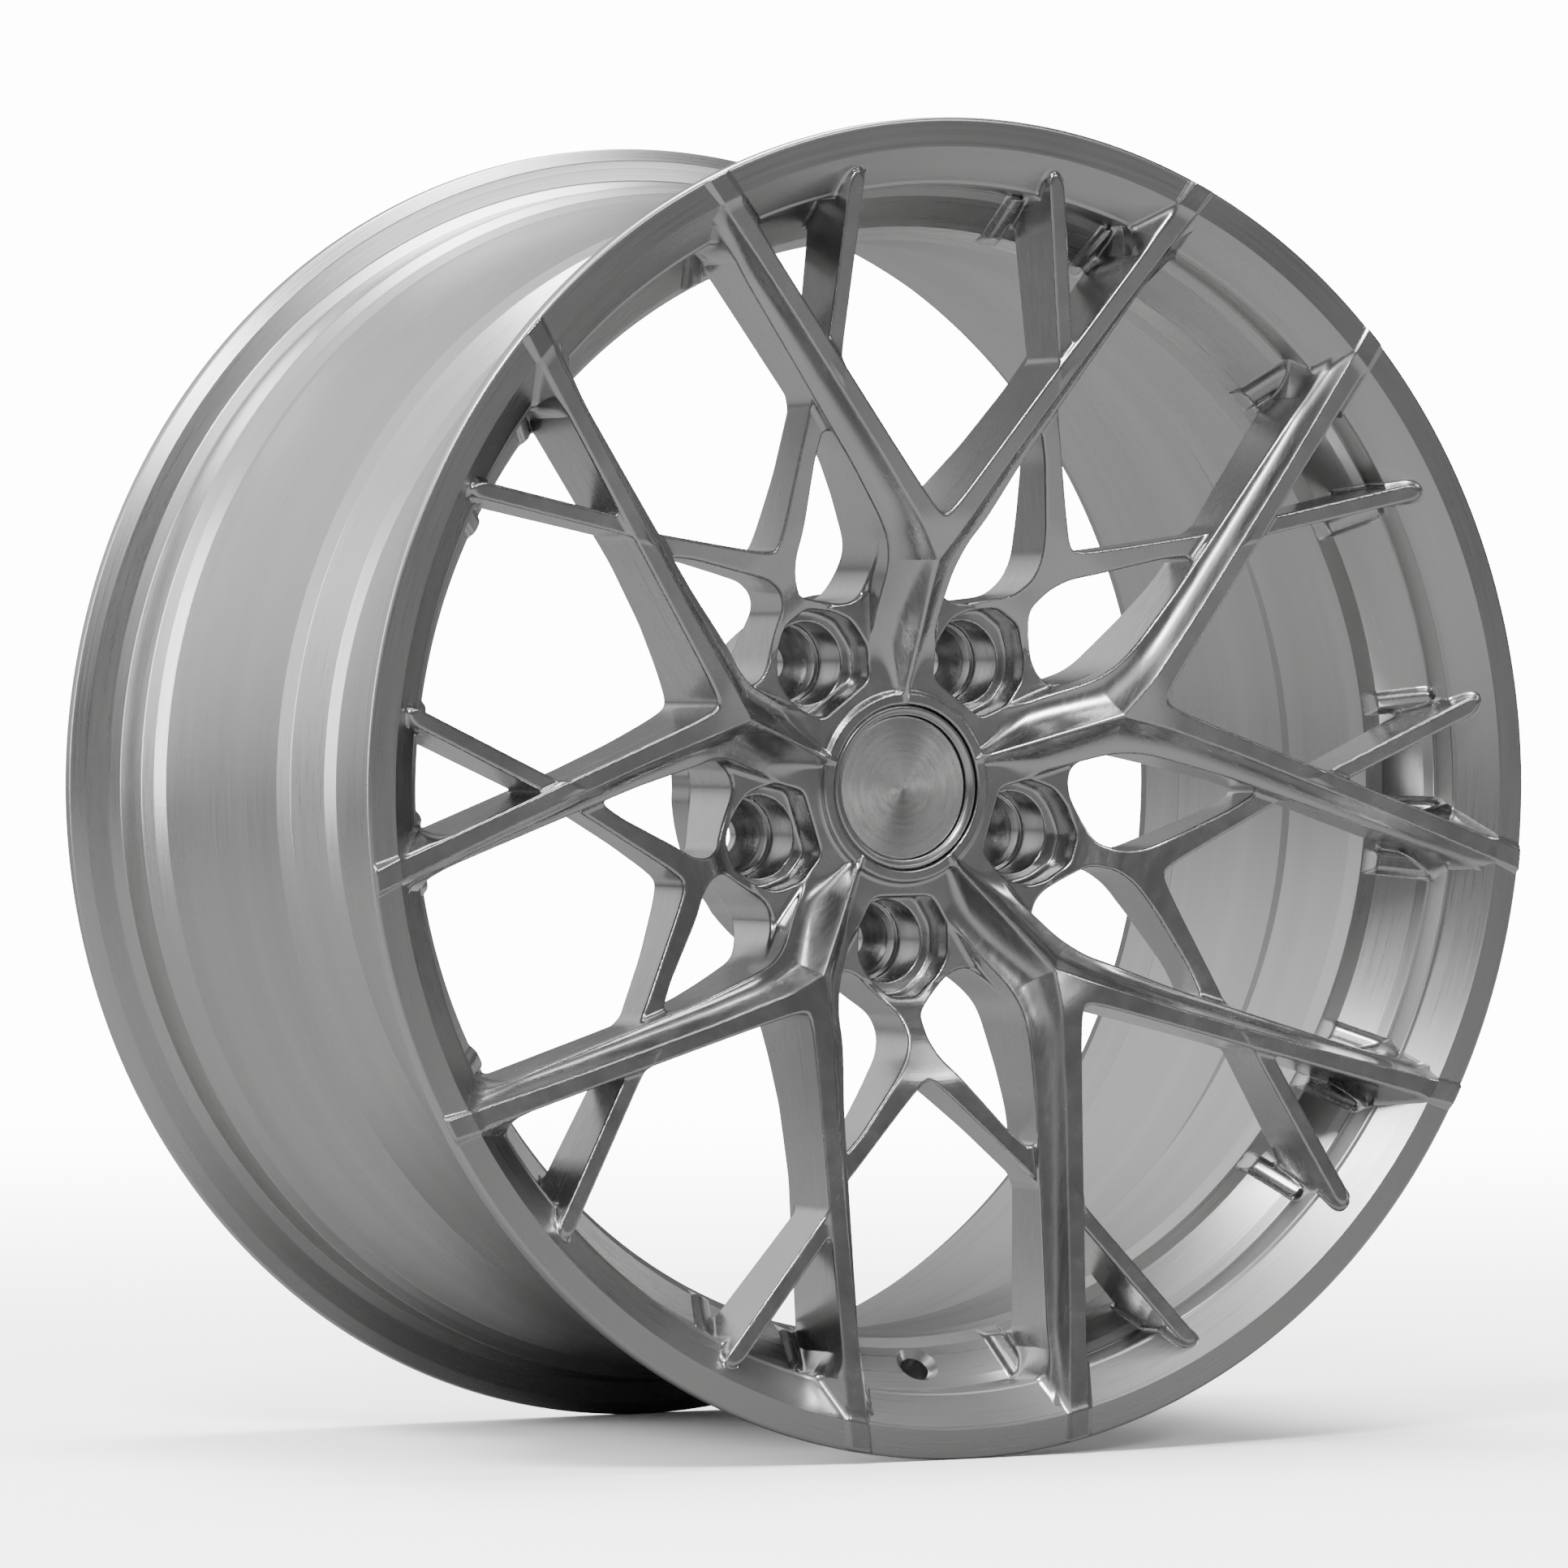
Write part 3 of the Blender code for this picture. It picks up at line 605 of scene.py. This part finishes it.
def smooth_by(mesh, attribute, least):
    """Shades each corner with its stored normal, or flat where the face turns away from it."""
    mesh.shade_smooth()
    layer = mesh.attributes[attribute]
    stored = np.zeros(len(layer.data) * 3, np.float32)
    layer.data.foreach_get("vector", stored)
    stored = stored.reshape(-1, 3)
    if layer.domain == "POINT":
        corner_vert = np.zeros(len(mesh.loops), np.int32)
        mesh.loops.foreach_get("vertex_index", corner_vert)
        stored = stored[corner_vert]
    sizes = np.zeros(len(mesh.polygons), np.int32)
    mesh.polygons.foreach_get("loop_total", sizes)
    flat = np.zeros(len(mesh.polygons) * 3, np.float32)
    mesh.polygons.foreach_get("normal", flat)
    flat = np.repeat(flat.reshape(-1, 3), sizes, axis=0)
    normals = np.where((stored * flat).sum(axis=1, keepdims=True) > least, stored, flat)
    mesh.attributes.remove(layer)
    mesh.normals_split_custom_set(normals.tolist())


def turned_mesh(name, profile, steps):
    """A closed profile of (r, depth) turned about the wheel's axis, with true normals along it."""
    pairs = zip(profile, profile[1:] + profile[:1])
    profile = np.array([p for p, q in pairs if math.dist(p, q) > SHORTEST_EDGE])
    following = np.roll(profile, -1, 0)
    if (following[:, 0] * profile[:, 1] - following[:, 1] * profile[:, 0]).sum() < 0:
        profile = profile[::-1]
    edges = np.roll(profile, -1, 0) - profile
    across = np.stack([-edges[:, 1], edges[:, 0]], axis=1)
    normals = across + np.roll(across, 1, 0)
    normals /= np.linalg.norm(normals, axis=1)[:, None]
    angles = 2 * math.pi * np.arange(steps) / steps
    out, count = np.stack([np.cos(angles), np.sin(angles)], axis=1), len(profile)

    def around(values):
        r, d = values[:, 0], values[:, 1]
        x, z = out[:, :1] * r, out[:, 1:] * r
        return np.stack([x, np.broadcast_to(d, x.shape), z], axis=2).reshape(-1, 3)

    ring, along = np.divmod(np.arange(steps * count), count)
    onwards, beside = (along + 1) % count, (ring + 1) % steps
    first, second = ring * count, beside * count
    faces = np.stack([second + along, second + onwards, first + onwards, first + along], axis=1)
    mesh = new_mesh(name, (around(profile) + (0, FRONT_Y, 0)) * MM, faces)
    layer = mesh.attributes.new("surface_normal", "FLOAT_VECTOR", "POINT")
    layer.data.foreach_set("vector", around(normals).astype(np.float32).ravel())
    return mesh


def valve_cutter():
    """The valve hole with its countersink, square to the shelf."""
    r, depth = VALVE_R, SHELF_FOOT_DEPTH - SHELF_SLOPE * (VALVE_R - SHELF_FOOT_R)
    out = turn_to_row(np.array([[0, 0, 1.0]]), VALVE_ANGLE)[0]
    mouth = Vector(out * r * MM) + Vector((0, (depth + FRONT_Y) * MM, 0))
    inwards = (Vector(-out) + Vector((0, -1 / SHELF_SLOPE, 0))).normalized()
    bm = bmesh.new()
    for low, high, length in VALVE_CUTS:
        made = bmesh.ops.create_cone(bm, cap_ends=True, segments=VALVE_SIDES, radius1=low * MM,
                                     radius2=high * MM, depth=length * MM)
        place = Matrix.Translation(mouth) @ inwards.to_track_quat("Z", "Y").to_matrix().to_4x4()
        bmesh.ops.transform(bm, verts=made["verts"], matrix=place)
    mesh = bpy.data.meshes.new("valve_cutter")
    bm.to_mesh(mesh)
    bm.free()
    cutter = bpy.data.objects.new("valve_cutter", mesh)
    bpy.context.scene.collection.objects.link(cutter)
    return cutter


def rim_mesh():
    mesh = turned_mesh("rim", RIM_PROFILE[:-1], RIM_STEPS)
    helper = bpy.data.objects.new("rim_helper", mesh)
    bpy.context.scene.collection.objects.link(helper)
    cutter = valve_cutter()
    modifier = helper.modifiers.new("Valve", "BOOLEAN")
    modifier.object, modifier.use_self = cutter, True
    modifier.operation = "DIFFERENCE"
    graph = bpy.context.evaluated_depsgraph_get()
    result = bpy.data.meshes.new_from_object(helper.evaluated_get(graph))
    for used in (helper, cutter):
        bpy.data.objects.remove(used)
    smooth_by(result, "surface_normal", TURNED_FACING)
    return result


# Materials

def material_tree(name, **values):
    """A material with its constant values set on the shader, with its node tree and its shader."""
    material = bpy.data.materials.new(name)
    material.use_nodes = True
    tree = material.node_tree
    shader = tree.nodes["Principled BSDF"]
    for socket, value in values.items():
        shader.inputs[socket.replace("_", " ")].default_value = value
    return material, tree, shader


def node(tree, kind, inputs=(), **settings):
    made = tree.nodes.new("ShaderNode" + kind)
    for key, value in settings.items():
        setattr(made, key, value)
    for key, value in dict(inputs).items():
        if isinstance(value, bpy.types.NodeSocket):
            tree.links.new(value, made.inputs[key])
        else:
            made.inputs[key].default_value = value
    return made


def noise(tree, vector, scale, detail=4.0, roughness=0.55):
    settings = {"Vector": vector, "Scale": scale, "Detail": detail, "Roughness": roughness}
    return node(tree, "TexNoise", settings).outputs["Fac"]


def remap(tree, value, low, high, start=0.3, end=0.7):
    return node(tree, "MapRange", {"Value": value, "From Min": start, "From Max": end, "To Min": low,
                                   "To Max": high}).outputs["Result"]


def add(tree, a, b, operation="ADD"):
    return node(tree, "Math", {0: a, 1: b}, operation=operation).outputs[0]


def mixed_colour(tree, factor, a, b):
    made = node(tree, "Mix", {"Factor": factor}, data_type="RGBA")
    made.inputs[6].default_value, made.inputs[7].default_value = (*a, 1), (*b, 1)
    return made.outputs[2]


def object_point(tree):
    return node(tree, "TexCoord").outputs["Object"]


def lathe_point(tree):
    """A point whose noise makes rings round the axis: the radius, the depth, and a slow drift with height."""
    x, y, z = node(tree, "SeparateXYZ", {0: object_point(tree)}).outputs
    r = add(tree, add(tree, add(tree, x, x, "MULTIPLY"), add(tree, z, z, "MULTIPLY")), 0.5, "POWER")
    drift = add(tree, add(tree, z, r, "DIVIDE"), RING_DRIFT, "MULTIPLY")
    return node(tree, "CombineXYZ", {0: r, 1: y, 2: drift}).outputs[0]


def bumped(tree, shader, height, distance):
    made = node(tree, "Bump", {"Height": height, "Distance": distance, "Strength": 1.0})
    tree.links.new(made.outputs["Normal"], shader.inputs["Normal"])


def forged_aluminium(name, colour, roughness, streaks):
    """Machined and hand-finished forging: fine grain, soft polishing streaks and faint handling marks."""
    material, tree, shader = material_tree(name, Metallic=1.0)
    point = object_point(tree)
    cloud = noise(tree, point, 14.0, 3.0)
    stretched = node(tree, "Mapping", {"Vector": point, "Scale": (1.0, 6.0, 1.0)}).outputs[0]
    streak = noise(tree, stretched, 90.0, 5.0, 0.6)
    grain = noise(tree, point, 1500.0, 2.0)
    tint = remap(tree, cloud, 0.0, 1.0)
    darker = tuple(c * 0.86 for c in colour)
    tree.links.new(mixed_colour(tree, tint, darker, colour), shader.inputs["Base Color"])
    rough = add(tree, remap(tree, cloud, roughness - 0.035, roughness + 0.035),
                remap(tree, streak, -streaks, streaks))
    tree.links.new(rough, shader.inputs["Roughness"])
    relief = add(tree, add(tree, streak, 0.6, "MULTIPLY"), add(tree, grain, 0.25, "MULTIPLY"))
    bumped(tree, shader, relief, FORGED_RELIEF)
    return material


def lathe_aluminium(name, colour, roughness, ring_scale, relief):
    """Satin turned metal with fine rings round the axis."""
    material, tree, shader = material_tree(name, Metallic=1.0)
    rings_at = lathe_point(tree)
    rings = noise(tree, rings_at, ring_scale, 4.0, 0.7)
    broad = noise(tree, rings_at, ring_scale * 0.04, 3.0)
    cloud = noise(tree, object_point(tree), 9.0, 3.0)
    darker = tuple(c * 0.9 for c in colour)
    shade = mixed_colour(tree, remap(tree, broad, 0.0, 1.0), darker, colour)
    tree.links.new(shade, shader.inputs["Base Color"])
    rough = add(tree, remap(tree, rings, roughness - 0.05, roughness + 0.05), remap(tree, cloud, -0.02, 0.03))
    tree.links.new(rough, shader.inputs["Roughness"])
    bumped(tree, shader, rings, relief)
    return material


def spun_disc():
    """Spun-brushed face: very fine rings that throw bright rays out from the centre."""
    material, tree, shader = material_tree("cap_brushed", Metallic=1.0, Anisotropic=0.85)
    rings_at = lathe_point(tree)
    rings = noise(tree, rings_at, 9000.0, 3.0, 0.7)
    broad = noise(tree, rings_at, 700.0, 2.0)
    shade = mixed_colour(tree, remap(tree, broad, 0.0, 1.0), (0.76, 0.76, 0.75), (0.84, 0.84, 0.83))
    tree.links.new(shade, shader.inputs["Base Color"])
    rough = add(tree, remap(tree, rings, 0.24, 0.34), remap(tree, broad, -0.03, 0.03))
    tree.links.new(rough, shader.inputs["Roughness"])
    bumped(tree, shader, rings, DISC_RELIEF)
    tangent = node(tree, "Tangent", direction_type="RADIAL", axis="Y")
    tree.links.new(tangent.outputs[0], shader.inputs["Tangent"])
    return material


def floor_material():
    """White paper sweep: pale in the picture, greyer in the metal, and lost in the backdrop far away."""
    material = bpy.data.materials.new("studio_floor")
    material.use_nodes = True
    tree = material.node_tree
    tree.nodes.clear()
    seen = node(tree, "LightPath").outputs["Is Camera Ray"]
    cloud = noise(tree, object_point(tree), 0.8, 3.0)
    paper = mixed_colour(tree, cloud, (FLOOR_PALE,) * 3, (FLOOR_PALE * 1.04,) * 3)
    colour = node(tree, "Mix", {0: seen}, data_type="RGBA")
    colour.inputs[6].default_value = (FLOOR_GREY, FLOOR_GREY, FLOOR_GREY, 1)
    tree.links.new(paper, colour.inputs[7])
    cloth = node(tree, "BsdfDiffuse", {"Color": colour.outputs[2]})
    glow = node(tree, "Emission", {"Color": (1, 1, 1, 1), "Strength": BACKDROP})
    reach = node(tree, "VectorMath", {0: object_point(tree)}, operation="LENGTH").outputs["Value"]
    far = node(tree, "MapRange", {"Value": reach, "From Min": FADE_START, "From Max": FADE_END},
               interpolation_type="SMOOTHSTEP").outputs["Result"]
    far = add(tree, far, seen, "MULTIPLY")
    shown = node(tree, "MixShader", {0: far, 1: cloth.outputs[0], 2: glow.outputs[0]})
    out = node(tree, "OutputMaterial")
    tree.links.new(shown.outputs[0], out.inputs["Surface"])
    return material


# Pieces

def add_forging(material):
    half = half_sector()
    groups = components(half)
    arrays = {}
    for name, (u, v) in COMPONENT_AT.items():
        target = Vector((u, v))
        nearest = min(groups, key=lambda g: min((f.calc_center_median().xz - target).length for f in g))
        arrays[name] = group_arrays(nearest)
        groups.remove(nearest)
    spokes = [CLOCKING + SECTOR * k for k in range(SECTORS)]
    both = [(mirrored, angle) for angle in spokes for mirrored in (False, True)]

    def add(node_name, component, copies):
        mesh = forged_mesh(node_name + "_mesh", arrays[component], copies)
        add_piece(node_name + "_forged", mesh, material, [node_name])

    add("hub_centre", "hub", both)
    for k, angle in enumerate(spokes, 1):
        add(f"spoke_stem_{k}", "stem", [(False, angle), (True, angle)])
        add(f"lug_stem_{k}", "lug_stem", [(False, angle), (True, angle + SECTOR)])
        for side, mirrored in SIDES.items():
            add(f"spoke_arm_{k}{side}", "arm", [(mirrored, angle)])
            add(f"fork_strut_{k}{side}", "strut", [(mirrored, angle)])
            past_lug = not mirrored
            add(f"lug_arm_{k}{side}", "lug_arm", [(past_lug, angle + past_lug * SECTOR)])
    half.free()


def add_rim(material):
    add_piece("rim_barrel_turned", rim_mesh(), material, ["rim_barrel"])


def add_turned(node_name, profile, radius, material):
    mesh = turned_mesh(node_name + "_mesh", filleted(profile + profile[:1], radius)[:-1], CAP_STEPS)
    smooth_by(mesh, "surface_normal", TURNED_FACING)
    add_piece(node_name + "_turned", mesh, material, [node_name], "centre_cap")


def add_cap():
    satin = lathe_aluminium("cap_satin", (0.60, 0.60, 0.60), 0.22, 2500.0, CAP_RELIEF)
    steel = lathe_aluminium("spring_steel", (0.55, 0.55, 0.54), 0.3, 4000.0, CAP_RELIEF)
    add_turned("centre_cap_shell", CAP_SHELL, SHELL_FILLET, satin)
    add_turned("centre_cap_disc", CAP_DISC, DISC_FILLET, spun_disc())
    wire = [(WIRE_RING_R + WIRE_R * math.sin(a), WIRE_DEPTH - WIRE_R * math.cos(a))
            for a in np.linspace(0, 2 * math.pi, WIRE_STEPS, endpoint=False)]
    add_turned("cap_spring_ring", wire, WIRE_FILLET, steel)


# Stage

def add_floor():
    place = (0, 0, FLOOR_Z)
    bpy.ops.mesh.primitive_grid_add(x_subdivisions=2, y_subdivisions=2, size=FLOOR_SIZE, location=place)
    floor = bpy.context.object
    floor.name = "studio_floor"
    floor.data.materials.append(floor_material())


def add_light(name, place, size, power, aim=(0, 0, 0)):
    data = bpy.data.lights.new(name, "AREA")
    data.shape, data.size, data.size_y, data.energy = "RECTANGLE", size[0], size[1], power
    light = bpy.data.objects.new(name, data)
    light.location = place
    light.rotation_euler = (Vector(aim) - Vector(place)).to_track_quat("-Z", "Y").to_euler()
    bpy.context.scene.collection.objects.link(light)


def add_world():
    """A soft studio: bright to the left, above and behind, and a dim side facing the wheel's front."""
    world = bpy.data.worlds.new("studio")
    bpy.context.scene.world = world
    world.use_nodes = True
    tree = world.node_tree
    background = tree.nodes["Background"]
    ray = node(tree, "TexCoord").outputs["Generated"]
    reach = node(tree, "VectorMath", {0: ray, 1: BRIGHT_SIDE}, operation="DOT_PRODUCT").outputs["Value"]
    glow = node(tree, "MapRange", {"Value": reach, "From Min": GLOW_START, "From Max": GLOW_END,
                                   "To Min": DIM_GLOW, "To Max": FULL_GLOW},
                interpolation_type="SMOOTHSTEP").outputs["Result"]
    seen = node(tree, "LightPath").outputs["Is Camera Ray"]
    strength = node(tree, "Mix", {0: seen, 2: glow, 3: BACKDROP}, data_type="FLOAT").outputs[0]
    background.inputs["Color"].default_value = (1, 1, 1, 1)
    tree.links.new(strength, background.inputs["Strength"])


def add_camera():
    data = bpy.data.cameras.new("camera")
    data.lens, data.sensor_width = CAMERA_LENS, CAMERA_SENSOR
    camera = bpy.data.objects.new("camera", data)
    camera.location = CAMERA_PLACE
    camera.rotation_euler = Vector(CAMERA_LOOK).to_track_quat("-Z", "Y").to_euler()
    bpy.context.scene.collection.objects.link(camera)
    bpy.context.scene.camera = camera


add_camera()
add_world()
add_floor()
add_light("key", (-1.7, -1.8, 2.8), (0.9, 0.9), 80)
add_light("side", (-2.9, 0.9, 0.9), (0.3, 2.2), 34)
add_light("top", (0.2, 0.3, 3.2), (1.6, 1.6), 110)
add_light("strip", (1.1, -2.6, 1.9), (1.5, 0.5), 17)
add_forging(forged_aluminium("forged_satin", (0.60, 0.60, 0.60), 0.24, 0.05))
add_rim(lathe_aluminium("rim_satin", (0.60, 0.60, 0.595), 0.30, 1400.0, RIM_RELIEF))
add_cap()
